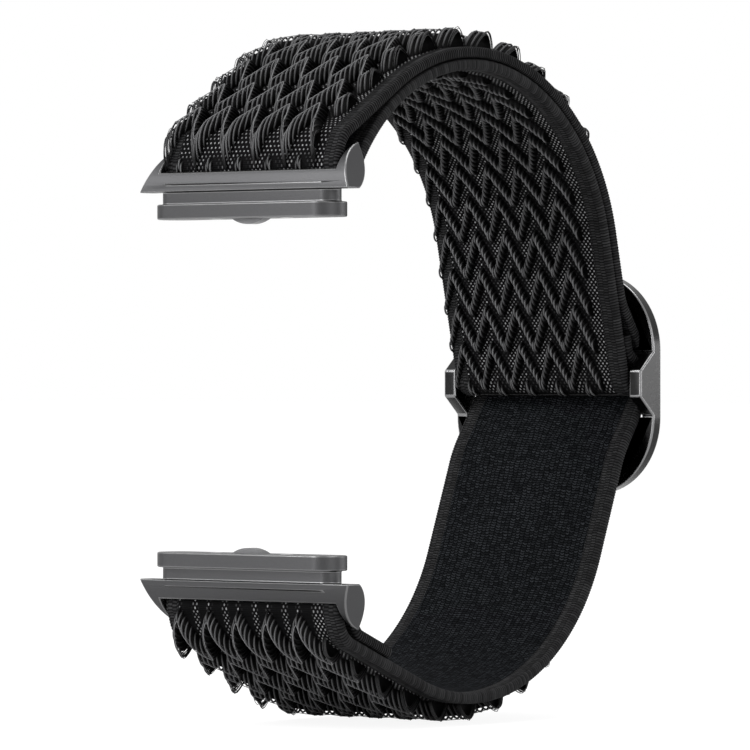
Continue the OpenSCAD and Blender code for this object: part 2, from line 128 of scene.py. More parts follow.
# The route as runs of (start, heading, length, turn for each mm)
runs = []
came = None
for here, there in zip(circles, circles[1:]):
    head = heading(here, there)
    came = head if came is None else came
    turn = (here[2] * (head - came) + 0.001) % 360 - 0.001
    if turn > 0.01 and here[1] > 0:
        runs.append((touch(here, came), came, math.radians(turn) * here[1], here[2] / here[1]))
    start = touch(here, head)
    runs.append((start, head, float(np.hypot(*(touch(there, head) - start))), 0.0))
    came = head
# Distances along the band at which one run passes into the next, numbered from the sewn end
turns = np.concatenate([[0.0], np.cumsum([run[2] for run in runs])])
web_len = float(turns[-1])


def along(s):
    """Points (Y, Z) and outward directions of the raised face at distances s along the band."""
    s = np.asarray(s, float)
    which = np.clip(np.searchsorted(turns, s, side="right") - 1, 0, len(runs) - 1)
    start = np.array([run[0] for run in runs])[which]
    head = np.radians(np.array([run[1] for run in runs])[which])
    k = np.array([run[3] for run in runs])[which]
    d = s - turns[which]
    turned = head + k * d
    bent = np.abs(k) > 0
    safe = np.where(bent, k, 1.0)
    arc = np.stack([np.sin(turned) - np.sin(head), np.cos(head) - np.cos(turned)], -1) / safe[..., None]
    line = d[..., None] * np.stack([np.cos(head), np.sin(head)], -1)
    point = start + np.where(bent[..., None], arc, line)
    return point, np.stack([-np.sin(turned), np.cos(turned)], -1)


def place(s, x, out):
    """Points in the frame, in metres, x mm across and out mm from the middle of the cloth."""
    point, face = along(s)
    yz = point + np.asarray(out)[..., None] * face
    x = np.broadcast_to(x, yz.shape[:-1])
    return np.concatenate([x[..., None], yz], -1) * MM


# The named pieces of the band meet at these distances
cuts = {
    "webbing_bar_fold": 0.0,
    "webbing_inner_lower": turns[4] + BAR_TURN + PINCH + TAIL_AT_BAR + 0.6,
    "webbing_inner_upper": turns[5] + 1.7,
    "webbing_top_fold": turns[7] - 0.5,
    "webbing_outer_upper": turns[8] + 0.5,
    "webbing_outer_lower": turns[12] - 1.6,
    "webbing_over_bar": turns[15] - 6,
    "webbing_lower_back": turns[16] + 4,
    "webbing_lower_front": turns[19] + 1,
    "webbing_bottom_fold": turns[23] - 0.5,
}

# The raised waves: zigzags of floats, from near the left edge to a plain strip at the right
COLUMN = 4.16
POINTED = 0.985
WAVE_LEFT, WAVE_RIGHT = -11.9, 8.9
FIRST_PEAK = WAVE_RIGHT - COLUMN / 2
SWING = 2.0
OUTER_PAST = 0.7
INNER_PITCH, OUTER_PITCH = 4.2, 4.6
INNER_FIRST, OUTER_FIRST = -3.5, 3.2
LUG_ROW_BACK = 1.3
LOWER_SHIFT = 2.0
inner_rows = cuts["webbing_inner_lower"] + INNER_FIRST + INNER_PITCH * np.arange(-3, 17)
outer_rows = cuts["webbing_outer_upper"] + OUTER_FIRST + OUTER_PITCH * np.arange(-1, 36)
first_full_row = outer_rows[1]
# The first row moves towards the lug, and those below the slider move towards the slider
outer_rows[0] -= LUG_ROW_BACK
outer_rows[outer_rows > turns[17]] -= LOWER_SHIFT
outer_rows = outer_rows[outer_rows < turns[22]]
wave_rows = np.concatenate([inner_rows, outer_rows])

# How high the waves stand at distances along the band: pressed flat where it is folded
wave_height = np.array([
    [0, 0.0], [turns[4] - 1.3, 0.0], [turns[4] - 1.0, 0.3], [turns[4], 0.5], [turns[4] + 3, 0.75],
    [turns[7] - 7, 0.75], [turns[7] - 2, 0.3], [turns[7], 0.12], [turns[8] + 0.5, 0.25],
    [turns[8] + 1.2, 0.6], [turns[8] + 3, 1.3], [turns[8] + 10, 1.5], [turns[11] + 6, 2.0],
    [turns[12] - 19, 2.1], [turns[12] - 13, 2.5], [turns[12] - 7, 2.5], [turns[12] - 1, 1.7],
    [turns[12] + 3, 1.0], [turns[14], 0.8],
    [turns[18], 0.9], [turns[19] + 1, 1.4], [turns[19] + 5, 1.85], [turns[21] - 10, 1.85],
    [turns[21] - 3, 1.55], [turns[21], 1.35], [turns[22], 1.1], [turns[22] + 1, 0.7],
    [turns[23], 0.2], [web_len, 0.2]
])


def height_at(s):
    """Height of the waves at distances s along the band."""
    return np.interp(s, wave_height[:, 0], wave_height[:, 1])


def rows_before(s):
    """Number of wave rows, with its fraction, up to distances s along the band."""
    return np.interp(s, wave_rows, np.arange(len(wave_rows)))


def zigzag(x):
    """Place of a crest across the band, from -1 in a dip to 1 at a peak."""
    turn = np.cos(2 * np.pi * (np.asarray(x) - FIRST_PEAK) / COLUMN)
    return np.arcsin(POINTED * turn) / math.asin(POINTED)


def grid_faces(rings, around, closed=True):
    """Faces of a tube or strip of rings of points."""
    i = np.arange(rings - 1)[:, None] * around
    j = np.arange(around if closed else around - 1)[None, :]
    k = (j + 1) % around
    quads = np.stack([i + j, i + k, i + around + k, i + around + j], -1)
    return quads.reshape(-1, 4)


def caps_of(rings, around):
    """The two end faces of a tube of rings of points."""
    return [list(range(around))[::-1], list(range((rings - 1) * around, rings * around))]


# A part is (points, faces, finish number of each face, marking of each point, end faces)
def joined(parts):
    """One part made of several."""
    firsts = np.cumsum([0] + [len(part[0]) for part in parts])
    points, faces, which, marks = [np.concatenate([part[i] for part in parts]) for i in range(4)]
    faces = faces + np.repeat(firsts[:-1], [len(part[1]) for part in parts])[:, None]
    ends = [[corner + first for corner in end] for part, first in zip(parts, firsts) for end in part[4]]
    return points, faces, which, marks, ends


def piece_of(name, part, finishes):
    """An object from a part, with its finishes and the marking that they read."""
    points, faces, which, marks, ends = part
    mesh = bpy.data.meshes.new(name)
    mesh.from_pydata(points.tolist(), [], faces.tolist() + [list(end) for end in ends])
    for finish in finishes:
        mesh.materials.append(finish)
    mesh.polygons.foreach_set("material_index", np.append(which, [0] * len(ends)).astype(np.int32))
    attribute = mesh.attributes.new("weave", "FLOAT_VECTOR", "POINT")
    attribute.data.foreach_set("vector", np.asarray(marks, np.float32).ravel())
    mesh.shade_smooth()
    made = bpy.data.objects.new(name, mesh)
    bpy.context.collection.objects.link(made)
    return made


# Outline of the band across its width: face, right edge, back and left edge
EDGE_BAND = 1.9
EDGE_R = 0.42
BAND_STEPS = 6
RIB_PITCH = 0.31
RIB_DEPTH, RIB_SUNK = 0.03, 0.6
FACE_NO, EDGE_NO, BACK_NO, YARN_NO = 0, 1, 2, 3
turnings = np.radians(np.array([67.5, 45, 22.5, 0, -22.5, -45, -67.5]))
edge_x = WEB_W / 2 - EDGE_R + EDGE_R * np.cos(turnings)
edge_out = (HALF_T - EDGE_R) * np.sign(np.round(np.sin(turnings), 6)) + EDGE_R * np.sin(turnings)
across_face = np.concatenate([
    np.linspace(-WEB_W / 2 + EDGE_R, -WEB_W / 2 + EDGE_BAND, BAND_STEPS), np.linspace(-9.4, 9.4, 6),
    np.linspace(WEB_W / 2 - EDGE_BAND, WEB_W / 2 - EDGE_R, BAND_STEPS)
])
outline_x = np.concatenate([across_face, edge_x, across_face[::-1], -edge_x[::-1]])
outline_out = np.concatenate([
    np.full(len(across_face), HALF_T), edge_out, np.full(len(across_face), -HALF_T), edge_out[::-1]
])
level_face = np.zeros(len(across_face))
turned_x = np.concatenate([level_face, np.cos(turnings), level_face, -np.cos(turnings[::-1])])
turned_out = np.concatenate([
    level_face + 1, np.sin(turnings), level_face - 1, np.sin(turnings[::-1])
])
in_band = np.clip((np.abs(outline_x) - (WEB_W / 2 - EDGE_BAND - 0.2)) / 0.3, 0, 1)


def cloth_part(s0, s1):
    """The plain band between two distances, with ribs along its edges."""
    steps = max(2, int(round((s1 - s0) / (RIB_PITCH / 4))))
    s = np.linspace(s0, s1, steps + 1)
    phase = 2 * np.pi * s / RIB_PITCH
    rib = RIB_DEPTH * (np.cos(phase)[:, None] * in_band[None, :] - RIB_SUNK)
    rib = np.where(in_band[None, :] > 0, rib, 0)
    x = outline_x[None, :] + rib * turned_x[None, :]
    out = outline_out[None, :] + rib * turned_out[None, :]
    points = place(s[:, None] + 0 * x, x, out)
    around = len(outline_x)
    faces = grid_faces(len(s), around)
    n = len(across_face)
    kind = np.full(around, EDGE_NO)
    kind[BAND_STEPS - 1:n - BAND_STEPS] = FACE_NO
    kind[n + len(turnings) + BAND_STEPS - 1:2 * n + len(turnings) - BAND_STEPS] = BACK_NO
    which = np.tile(kind, len(s) - 1)
    marks = np.stack([s[:, None] + 0 * x, x, rows_before(s)[:, None] + 0 * x], -1).reshape(-1, 3)
    return points.reshape(-1, 3), faces, which, marks, caps_of(len(s), around)


# Each float lies lengthwise over its crest and sinks into the base at both ends. A row that
# stands over TALL has a rounded ridge, open ends and a crest thread painted as a highlight; a low one is
# a soft swell.
STRAND_PITCH = COLUMN / 15
FLOAT_R = 0.105
FLOAT_ROOT = 0.12
AROUND = 8
ALONG = np.concatenate([np.linspace(-1, 0, 7), np.linspace(0, 1, 6)[1:]])
RINGS = len(ALONG)
TALL_FROM, TALL_BLEND, TALL = 0.8, 0.3, 1.1
CREST_R = 0.3
CREST_LEAN = 0.14
NEAR_REACH, NEAR_GAIN = 0.55, 0.6
FAR_REACH, FAR_GAIN = 0.5, 0.28
LEAST_HEIGHT = 0.15
LEAST_STRAND = 0.2
FIRST_ROW_PEAKS = 0.68
SHEET_LIP = np.linspace(-0.9, 0.9, 11)
SHEET_STEP = 0.13
SHEET_FROM, SHEET_PAST = 0.35, 0.12
CREST_THREAD_R = 0.045
CREST_THREAD_OUT = 0.1
CREST_THREAD_WAVE = 0.025
CREST_THREAD_SIDE = 0.12
ASKEW = np.array([0.13, 0.71, 0.69])
OPEN_STRANDS, FILAMENTS, FILAMENT_R = 3, 9, 0.032
# How unevenly the strands lie, and how much further the loose filaments stray
UNEVEN_HEIGHT = (0.95, 1.04)
UNEVEN_ACROSS, UNEVEN_SLANT = 0.03, 0.05
LOOSE_ALONG, LOOSE_ACROSS = 0.16, 0.2
LOOSE_HEIGHT = (-0.18, 0.1)
LOW_OPEN_END = 0.5
# How the first full row is drawn together beside the lug
DRAWN_IN, DRAWN_ASIDE, DRAWN_BACK = 0.6, 0.35, 1.9
TALL_LIT = ((-1, -0.85, -0.3, 0.0, 0.25, 1), (-0.8, -0.33, -0.1, 0.12, 0.5, 1))
LOW_LIT = 0.8
# Painted light: floats on the leg that faces the light are lighter, tall waves are painted dimmer, and
# some tone is random
TALL_TONE = 0.75
LIGHT_BY_SLOPE, TONE_BY_CHANCE = 0.65, 0.35
slices = 2 * np.pi * np.arange(AROUND) / AROUND
draw = np.random.default_rng(7)


def leaning(middle):
    """1 for a wave whose far side lies further along the band, else -1: waves lean from the case."""
    return 1 if middle < turns[17] else -1


def tallness(high):
    """0 for a low wave, 1 for a tall one, and between them in the middle."""
    return np.clip((high - TALL_FROM) / TALL_BLEND, 0, 1)


def wave_shape(t, crest, high, lean):
    """Distance along the band and height of a wave's surface, for t from -1 to 1 over it.
    The crest leans towards the far side, and the yarns hang longer on the near side."""
    tall = tallness(high)
    ridge = 1 - (np.sqrt(t * t + CREST_R ** 2) - CREST_R) / (math.sqrt(1 + CREST_R ** 2) - CREST_R)
    swell = np.clip(1 - np.abs(t) ** 2.4, 0, 1) ** 0.75
    peak = tall * np.clip(ridge, 0, 1) ** 0.8 + (1 - tall) * swell
    reach = np.where(t < 0, NEAR_REACH + NEAR_GAIN * high, FAR_REACH + FAR_GAIN * high)
    return crest + lean * (CREST_LEAN * high + t * reach), HALF_T + high * peak


def near_left(middle, x):
    """How far the waves of the inner run rise beside the left edge, where they end low."""
    return np.clip(0.3 + (x - WAVE_LEFT) / 2.4, 0, 1) if middle < turns[8] else 1.0


def shade_sheet_part(middle):
    """A dark sheet of painted shade under one wave's floats, filling the hollow beneath them."""
    x = np.arange(WAVE_LEFT + SHEET_FROM, right_end(middle) + SHEET_PAST, SHEET_STEP)
    crest = middle + SWING * zigzag(np.minimum(x, right_end(middle) - 0.05))
    high = height_at(crest) * near_left(middle, x)
    lean = leaning(middle)
    s, out = wave_shape(SHEET_LIP[None, ::lean], crest[:, None], high[:, None], lean)
    # Half as high at the left end, closed along both lips, and fuller beside the right end
    fade = np.clip(np.minimum((x - x[0]) / 0.2, (x[-1] - x) / 0.1 + 0.75), 0, 1)[:, None]
    lip = np.clip((1 - np.abs(SHEET_LIP) / SHEET_LIP[-1]) * 8, 0, 1)[None, :]
    full = np.clip((x - right_end(middle) + 0.6) / 0.4, 0, 1)[:, None]
    out = (out - HALF_T) * (0.5 + 0.5 * fade) * (0.88 + 0.12 * full) * lip
    out = out + HALF_T - FLOAT_ROOT * (1 - 0.8 * full)
    points = place(s, x[:, None] + 0 * s, out)
    # Painted shade: marked like the ends of a float, which the yarn finish paints darkest
    marks = np.stack([0 * s - 1, 0 * s, 0 * s], -1).reshape(-1, 3)
    around = len(SHEET_LIP)
    faces = grid_faces(len(x), around, closed=False)
    tips = [tip[::-1] for tip in caps_of(len(x), around)]
    return points.reshape(-1, 3), faces, np.full(len(faces), YARN_NO), marks, tips


def right_end(middle):
    """Where a wave ends at the right; on the outer run it reaches a little further."""
    return WAVE_RIGHT + (OUTER_PAST if middle > first_full_row else 0.0)


def float_parts(middle):
    """All the yarn floats of one wave. On a tall wave of the outer run the first three at the
    left and the last at the right are open, as loose bundles of filaments."""
    x0 = np.arange(WAVE_LEFT + STRAND_PITCH / 2, right_end(middle), STRAND_PITCH)
    x0 = x0[height_at(middle + SWING * zigzag(x0)) > LEAST_STRAND]
    if middle == outer_rows[0]:
        x0 = x0[zigzag(x0) > FIRST_ROW_PEAKS]
    thin = np.ones(len(x0))
    loose = (x0 < WAVE_LEFT + OPEN_STRANDS * STRAND_PITCH) | (x0 > right_end(middle) - STRAND_PITCH)
    loose = loose & (height_at(middle) > TALL) & (middle > turns[8])
    if loose.any():
        x0 = np.concatenate([x0[~loose], np.repeat(x0[loose], FILAMENTS)])
        thin = np.concatenate([thin[~loose], np.full(loose.sum() * FILAMENTS, FILAMENT_R / FLOAT_R)])
    x0, thin = x0[:, None], thin[:, None]
    stray = (thin < 1) * 1.0
    lean = leaning(middle)
    t = ALONG[None, ::lean]
    t = t * (1 + 0.2 * (1 - t * t))
    crest = middle + SWING * zigzag(x0)
    crest = crest + stray * draw.uniform(-LOOSE_ALONG, LOOSE_ALONG, x0.shape)
    high = height_at(crest) * draw.uniform(*UNEVEN_HEIGHT, x0.shape) * near_left(middle, x0)
    high = high * (1 + stray * draw.uniform(*LOOSE_HEIGHT, x0.shape))
    # Down the back of the loop the open ends at the left lie close to the cloth
    if turns[11] + 14 < middle < turns[13]:
        high = high * np.where(x0 < 0, 1 - LOW_OPEN_END * stray, 1)
    s, out = wave_shape(t, crest, high, lean)
    x = x0 + draw.uniform(-UNEVEN_ACROSS, UNEVEN_ACROSS, x0.shape)
    x = x + draw.uniform(-UNEVEN_SLANT, UNEVEN_SLANT, x0.shape) * t
    x = x + stray * draw.uniform(-LOOSE_ACROSS, LOOSE_ACROSS, x0.shape)
    if abs(middle - first_full_row) < 0.1:
        # Beside the lug the strands are drawn together into the dips
        dip = WAVE_RIGHT - COLUMN * np.round((WAVE_RIGHT - x0) / COLUMN)
        near = np.clip(1 - np.abs(dip - x0) / (COLUMN / 2), 0, 1)
        drawn = np.clip(-t, 0, 1) ** 1.3
        x += drawn * (DRAWN_IN * (dip - x0) * near ** 0.5 + DRAWN_ASIDE)
        s -= drawn * DRAWN_BACK * near
    out = out - FLOAT_ROOT * np.abs(t) ** 3
    point, face = along(s)
    path = np.concatenate([x[..., None], point + out[..., None] * face], -1)
    run = np.gradient(path, axis=1)
    run /= np.linalg.norm(run, axis=-1, keepdims=True)
    side = np.array([1.0, 0, 0]) - run * run[..., :1]
    side /= np.linalg.norm(side, axis=-1, keepdims=True)
    up = np.cross(run, side)
    up *= np.sign(np.sum(up[..., 1:] * face, axis=-1))[..., None]
    size = thin * FLOAT_R * (0.72 + 0.28 * (1 - t ** 4)) * (1 + 0.05 * high)
    size = size[..., None, None]
    ring = (side[..., None, :] * np.cos(slices)[:, None] + up[..., None, :] * np.sin(slices)[:, None])
    points = (path[..., None, :] + ring * size) * MM
    shape = points.shape[:3]
    # Painted light: strands on the leg of each zigzag that faces the light are painted lighter than
    # those on the other leg, over a random tone, and on tall waves all of it is toned down
    facing_us = 1 if turns[8] < middle < turns[15] else -1
    slope = -facing_us * np.sin(2 * np.pi * (x0 - FIRST_PEAK) / COLUMN)
    tone = LIGHT_BY_SLOPE * np.clip(0.5 + 1.2 * slope, 0, 1) + TONE_BY_CHANCE * draw.random(x0.shape)
    tone = tone * (TALL_TONE if height_at(middle) > TALL else 1.0)
    tone = np.broadcast_to(tone[..., None], shape)
    # On a tall wave the near side catches the light and the far side stays dark
    tall = tallness(high)
    lit_at = tall * np.interp(t, TALL_LIT[0], TALL_LIT[1]) + (1 - tall) * t * LOW_LIT
    marks = np.stack([np.broadcast_to(lit_at[..., None], shape),
                      np.broadcast_to(slices / (2 * np.pi), shape), tone], -1)
    faces = grid_faces(RINGS, AROUND)
    firsts = RINGS * AROUND * np.arange(len(x0))
    ends = [[corner + first for corner in end] for first in firsts for end in caps_of(RINGS, AROUND)]
    faces = (faces + firsts[:, None, None]).reshape(-1, 4)
    return points.reshape(-1, 3), faces, np.full(len(faces), YARN_NO), marks.reshape(-1, 3), ends


def crest_highlight_thread(middle):
    """The fine thread along a tall wave's crest, painted fully lit as the highlight where the floats
    bend over it.
    """
    x = np.arange(WAVE_LEFT + 0.2, right_end(middle) - 0.1, STRAND_PITCH / 2)
    crest = middle + SWING * zigzag(x)
    high = height_at(crest) * near_left(middle, x)
    s, out = wave_shape(CREST_THREAD_SIDE + 0 * x, crest, high, leaning(middle))
    wobble = CREST_THREAD_WAVE * np.cos(2 * np.pi * (x - WAVE_LEFT) / STRAND_PITCH)
    path = place(s, x, out + CREST_THREAD_OUT - wobble)
    points, faces = thread_along(path, CREST_THREAD_R * MM, 6)
    # Painted highlight: marked fully lit, at the top of its round, and brighter than any float
    marks = np.tile([0.0, 0.25, 2.0], (len(points), 1))
    return points, faces, np.full(len(faces), YARN_NO), marks, []


def thread_along(path, radius, around):
    """Points and faces of a thread of a round section along a path in the frame, in metres."""
    run = np.gradient(path, axis=0)
    run /= np.linalg.norm(run, axis=1)[:, None]
    aside = np.cross(run, ASKEW)
    aside /= np.linalg.norm(aside, axis=1)[:, None]
    up = np.cross(run, aside)
    a = 2 * np.pi * np.arange(around) / around
    ring = aside[:, None, :] * np.cos(a)[None, :, None] + up[:, None, :] * np.sin(a)[None, :, None]
    points = (path[:, None, :] + radius * ring).reshape(-1, 3)
    return points, grid_faces(len(path), around)


class Wire:
    """A socket of a finish's nodes; Python's own operators on it add Math nodes."""

    def __init__(self, finish, socket):
        self.finish, self.socket = finish, socket

    def maths(self, operation, *values):
        return self.finish.node("Math", {"operation": operation}, dict(enumerate(values)))

    def __add__(self, other):
        return self.maths("ADD", self, other)

    def __sub__(self, other):
        return self.maths("SUBTRACT", self, other)

    def __rsub__(self, other):
        return self.maths("SUBTRACT", other, self)

    def __mul__(self, other):
        return self.maths("MULTIPLY", self, other)

    def __truediv__(self, other):
        return self.maths("DIVIDE", self, other)

    def __pow__(self, other):
        return self.maths("POWER", self, other)

    def __mod__(self, other):
        return self.maths("FLOORED_MODULO", self, other)

    def __abs__(self):
        return self.maths("ABSOLUTE", self)

    __radd__ = __add__

    def floor(self):
        return self.maths("FLOOR", self)

    def sine(self):
        return self.maths("SINE", self)

    def between(self, low, high):
        """0 up to low, 1 from high on, and smooth between; low may be the larger."""
        return self.finish.node("MapRange", {"interpolation_type": "SMOOTHSTEP"},
                                {"Value": self, "From Min": low, "From Max": high})


class Finish:
    """A material, with short ways to add nodes to it."""

    def __init__(self, name):
        self.material = bpy.data.materials.new(name)
        self.material.use_nodes = True
        self.tree = self.material.node_tree
        self.shader = self.tree.nodes["Principled BSDF"]

    def node(self, kind, settings=None, inputs=None, out=0):
        made = self.tree.nodes.new("ShaderNode" + kind)
        for key, value in (settings or {}).items():
            setattr(made, key, value)
        self.feed(made, inputs or {})
        return Wire(self, made.outputs[out])

    def feed(self, made, inputs):
        for key, value in inputs.items():
            if isinstance(value, Wire):
                self.tree.links.new(value.socket, made.inputs[key])
            else:
                made.inputs[key].default_value = value

    def mark(self, name):
        """The three numbers of a mesh's own marking."""
        marking = self.node("Attribute", {"attribute_name": name}, out="Vector")
        split = self.node("SeparateXYZ", {}, {0: marking}).socket.node
        return [Wire(self, output) for output in split.outputs]

    def mix(self, factor, low, high):
        """A colour between two, each three numbers or a wire."""
        low, high = [c if isinstance(c, Wire) else (*c, 1.0) for c in (low, high)]
        return self.node("Mix", {"data_type": "RGBA"}, {0: factor, 6: low, 7: high}, out=2)

    def noise(self, scale, detail=2.0):
        at = self.node("TexCoord", out="Object")
        return self.node("TexNoise", {}, {"Scale": scale, "Detail": detail, "Vector": at})

    def bump(self, height, distance, strength=1.0):
        return self.node("Bump", {}, {"Height": height, "Distance": distance, "Strength": strength})

    def surface(self, **sockets):
        names = {key.replace("_", " "): value for key, value in sockets.items()}
        self.feed(self.shader, names)
        return self.material


# Face of the knit between the waves: matt black, with a painted highlight on the head of each loop in a
# staggered grid, which is left out as painted shade in the smooth dark hollows beside each wave
knit = Finish("nylon_knit_face")
s_mm, x_mm, row = knit.mark("weave")
DOT_ACROSS, DOT_ALONG = 0.55, 0.305
# The knit is drawn out beside the upper lug
past_lug = s_mm - (first_full_row - 3.5)
past_lug = past_lug.maths("MAXIMUM", past_lug, 0.0)
drawn_out = past_lug.maths("MINIMUM", past_lug, 5.0)
open_row = drawn_out.between(0.0, 0.5) * drawn_out.between(5.0, 4.5)
knit_s = s_mm - drawn_out * 0.34
line = (knit_s / DOT_ALONG).floor()
du = ((x_mm / DOT_ACROSS + (line % 2) * 0.5) % 1 - 0.5) * DOT_ACROSS
dv = ((knit_s / DOT_ALONG) % 1 - 0.5) * DOT_ALONG * (open_row * 0.6 + 1)
spot = ((du ** 2 + dv ** 2) ** 0.5).between(0.13, 0.07)
cell = knit.node("CombineXYZ", {}, {0: (x_mm / DOT_ACROSS + (line % 2) * 0.5).floor(), 1: line})
chance = knit.node("TexWhiteNoise", {"noise_dimensions": "2D"}, {"Vector": cell})
# Painted shade: the loop-head highlights are kept on the leg of each zigzag that faces the light and
# away from the foot of each wave, dimmed in a narrow strip near each peak, and left out elsewhere as
# painted shade
column = ((x_mm - FIRST_PEAK) / COLUMN) % 1
tooth = abs(column - 0.5) * 4 - 1
off_crest = abs((row - tooth * (SWING / OUTER_PITCH)) % 1 - 0.5)
parted = 1 - abs(column - 0.87).between(0.09, 0.04) * 0.7
lit_leg = abs(column - 0.79).between(0.42, 0.27)
knit_out_of_painted_shade = off_crest.between(0.31, 0.14) * (lit_leg * parted * 0.92 + 0.08)
margin = x_mm.between(WAVE_RIGHT, WAVE_RIGHT + 0.3)
past_bar = s_mm.between(turns[4] - 1.4, turns[4] - 0.9)
# A thin painted highlight across the band where it turns over the bar
fold_highlight = abs(s_mm - (turns[4] - 1.6)).between(0.11, 0.04)
knit_out_of_painted_shade = knit_out_of_painted_shade.maths("MAXIMUM", knit_out_of_painted_shade, margin.maths("MAXIMUM", margin, open_row))
shown = spot * knit_out_of_painted_shade * past_bar * (chance * 0.6 + 0.4)
weft = (s_mm * (2 * math.pi / 0.155)).sine() * 0.5 + 0.5
soft = knit.noise(900.0)
ground = knit.mix(weft * 0.5 + soft * 0.5, (0.0012, 0.0012, 0.0013), (0.0045, 0.0045, 0.0048))
# Base colour: painted highlights on the loop heads, over the dark ground
KNIT_FACE = knit.surface(
    Base_Color=knit.mix(shown + fold_highlight * 0.16, ground, (0.30, 0.30, 0.305)),
    Roughness=0.62 - shown * 0.22,
    Normal=knit.bump(shown * 0.9 + weft * 0.25, 0.00007),
)

# Selvedges: ribs of thicker yarn laid across the edge, each of three strands, with their own uneven
# tone;
# the crown of each rib is a painted highlight, and the partings between strands are painted shade
selvedge = Finish("nylon_selvedge")
s_mm, x_mm, _ = selvedge.mark("weave")
lint = selvedge.noise(1400.0, 3.0)
course = (x_mm + (s_mm * 1.7).sine() * 0.06) / 0.64
side_step = (course.floor() % 2) * 0.5
rib_turn = (s_mm / RIB_PITCH + side_step * 0.6 + lint * 0.5) % 1
crown = abs(rib_turn - 0.5).between(0.42, 0.12)
rib_no = (s_mm / RIB_PITCH + side_step * 0.6).floor()
rib_cell = selvedge.node("CombineXYZ", {}, {0: course.floor(), 1: rib_no})
uneven = selvedge.node("TexWhiteNoise", {"noise_dimensions": "2D"}, {"Vector": rib_cell})
strand = abs(course % 1 - 0.5).between(0.5, 0.3)
SELVEDGE = selvedge.surface(
    Base_Color=selvedge.mix(crown * (0.35 + uneven * 0.65) * (0.45 + strand * 0.55),
                            (0.0028, 0.0028, 0.0030), (0.030, 0.030, 0.031)),
    Roughness=0.7 - crown * 0.1,
    Normal=selvedge.bump(crown * 0.5 + strand * 0.3 + lint * 0.2, 0.00006),
)

# Plain back: a very fine rib knit, blue-black with faint grey flecks
back = Finish("nylon_knit_back")
s_mm, x_mm, _ = back.mark("weave")
sway = back.noise(700.0, 2.0)
wale = x_mm / 0.62 + sway * 1.4
wale_no = wale.floor()
step = back.node("TexWhiteNoise", {"noise_dimensions": "1D"}, {"W": wale_no})
course = s_mm / 0.30 + step + sway * 1.8 + abs(wale % 1 - 0.5) * 0.7
loop = abs(course % 1 - 0.5).between(0.42, 0.14) * abs(wale % 1 - 0.5).between(0.5, 0.3)
back_cell = back.node("CombineXYZ", {}, {0: wale_no, 1: course.floor()})
loop = loop * (back.node("TexWhiteNoise", {"noise_dimensions": "2D"}, {"Vector": back_cell}) * 0.8 + 0.2)
fleck = back.noise(2200.0, 1.0).between(0.66, 0.76)
KNIT_BACK = back.surface(
    Base_Color=back.mix(loop + fleck * 0.35, (0.0008, 0.0010, 0.0013), (0.0230, 0.0250, 0.0280)),
    Roughness=0.7 - fleck * 0.1,
    Normal=back.bump(loop + fleck * 0.2, 0.00005),
)

# Floating yarns: filament nylon lying lengthwise over each wave, with a slight twist; each float has a
# painted highlight over its middle and along the top of its round, and painted shade towards its ends
yarn = Finish("nylon_floats")
lengthwise, around_it, tone = yarn.mark("weave")
fibre = (around_it * (2 * math.pi * 6) + lengthwise * 5 + tone * 40).sine() * 0.5 + 0.5
# Painted light: top is the painted highlight along the top of each round, lit the painted highlight over
# the middle of each float, and dim with the dark end of the colour range the painted shade at its ends
top = (around_it * (2 * math.pi)).sine().between(0.1, 0.95)
lit = abs(lengthwise).between(0.62, 0.2)
dim = abs(lengthwise).between(1.0, 0.5)
streak = yarn.noise(1600.0, 2.0)
shade = dim * 0.12 + lit * (0.18 + top * 0.7)
YARN = yarn.surface(
    Base_Color=yarn.mix(shade * (0.6 + fibre * 0.2 + streak * 0.2) * (0.42 + tone * 0.58),
                        (0.0012, 0.0012, 0.0013), (0.165, 0.165, 0.169)),
    Roughness=0.55 - fibre * 0.1,
    Normal=yarn.bump(fibre * 0.7 + streak * 0.3, 0.00003),
)
for finish, shine in ((knit, 0.02), (selvedge, 0.05), (back, 0.015), (yarn, 0.06)):
    finish.feed(finish.shader, {"Specular IOR Level": shine})


def middle_of(s):
    """The middle of the band at a distance along it, as a point in the frame."""
    return tuple(float(v) for v in place(np.array([s]), 0.0, 0.0)[0])


# Each named stretch is the plain band with a dark sheet of painted shade under each wave, and pieces
# of a few rows of floats with painted highlight crest threads. Three stretches between slider and strap
# ride on neither.
ROWS_EACH = 7
END_ROOM = 0.5
webbing_finishes = [KNIT_FACE, SELVEDGE, KNIT_BACK, YARN]
rides = {name: ("strap",) for name in cuts}
rides.update(webbing_bar_fold=("slider",), webbing_over_bar=("slider",),
             webbing_inner_lower=("slider", "strap"), webbing_outer_lower=("strap", "slider"),
             webbing_lower_back=("slider", "strap"))
for name, s0, s1 in zip(cuts, cuts.values(), list(cuts.values())[1:] + [web_len]):
    plain, raised = [cloth_part(s0, s1)], []
    for middle in wave_rows:
        if not s0 <= middle < s1 or middle + SWING > web_len - END_ROOM:
            continue
        if height_at(middle - 2 * SWING + np.arange(5) * SWING).max() < LEAST_HEIGHT:
            continue
        plain.append(shade_sheet_part(middle))
        row_parts = [float_parts(middle)]
        if height_at(middle) > TALL:
            row_parts.append(crest_highlight_thread(middle))
        raised.append(joined(row_parts))
    pieces = {name + "_cloth": joined(plain)}
    for i in range(0, len(raised), ROWS_EACH):
        pieces[f"{name}_floats_{i // ROWS_EACH + 1}"] = joined(raised[i:i + ROWS_EACH])
    for piece_name, part in pieces.items():
        made = piece_of(piece_name, part, webbing_finishes)
        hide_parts(name)
        if len(rides[name]) == 1:
            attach(made, *rides[name])
        else:
            middle_of(s0)
            middle_of(s1)
            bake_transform(made)

